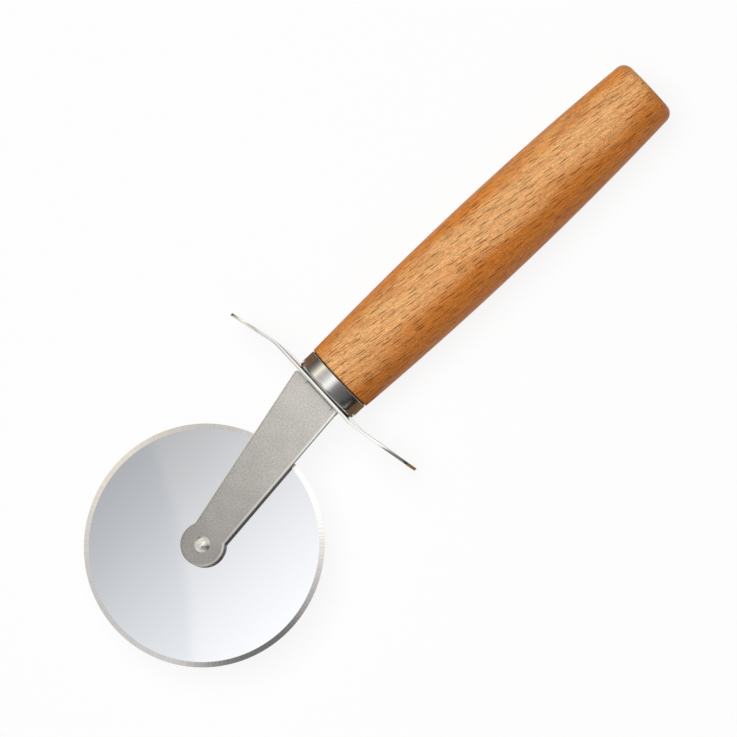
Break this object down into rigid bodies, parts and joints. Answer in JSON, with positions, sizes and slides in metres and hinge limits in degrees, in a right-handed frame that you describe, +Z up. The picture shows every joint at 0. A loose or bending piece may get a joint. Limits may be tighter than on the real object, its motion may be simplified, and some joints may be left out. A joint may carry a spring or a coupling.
{
  "type": "pizza cutter wheel",
  "caption": "Hand pizza cutter: round steel knife free to turn on a one-sided stamped arm, with an S-bent thumb guard, a short ferrule and a turned wooden handle.",
  "frame": {"origin": "middle of the foot of the bounding box, with the tool lying flat, handle belly and guard edge on the surface", "axes": "+X along the handle from the wheel to the butt, +Z up along the wheel's axle, towards the peened side of the rivet, +Y away from the side the wheel is offset to"},
  "size_m": [0.2018, 0.0724, 0.023],
  "materials": {
    "beech": "turned, oiled",
    "polished_steel": "polished stainless, edge ground",
    "satin_steel": "tumbled stainless sheet",
    "drawn_steel": "drawn and buffed stainless",
    "rivet_steel": "bright, peened",
    "nylon": "moulded natural nylon"
  },
  "bodies": {
    "tool": {"handle": "beech", "ferrule": "drawn_steel", "thumb_guard": "drawn_steel", "wheel_arm": "satin_steel", "tang_pin": "rivet_steel", "axle_rivet": "rivet_steel", "spacer_washer": "nylon"},
    "wheel": {"cutting_wheel": "polished_steel"}
  },
  "joints": [
    {"name": "wheel_spin", "type": "hinge", "parent": "tool", "child": "wheel", "pos_m": [-0.06842, -0.0037, 0.01522], "axis": [0, 0, 1], "continuous": true}
  ]
}
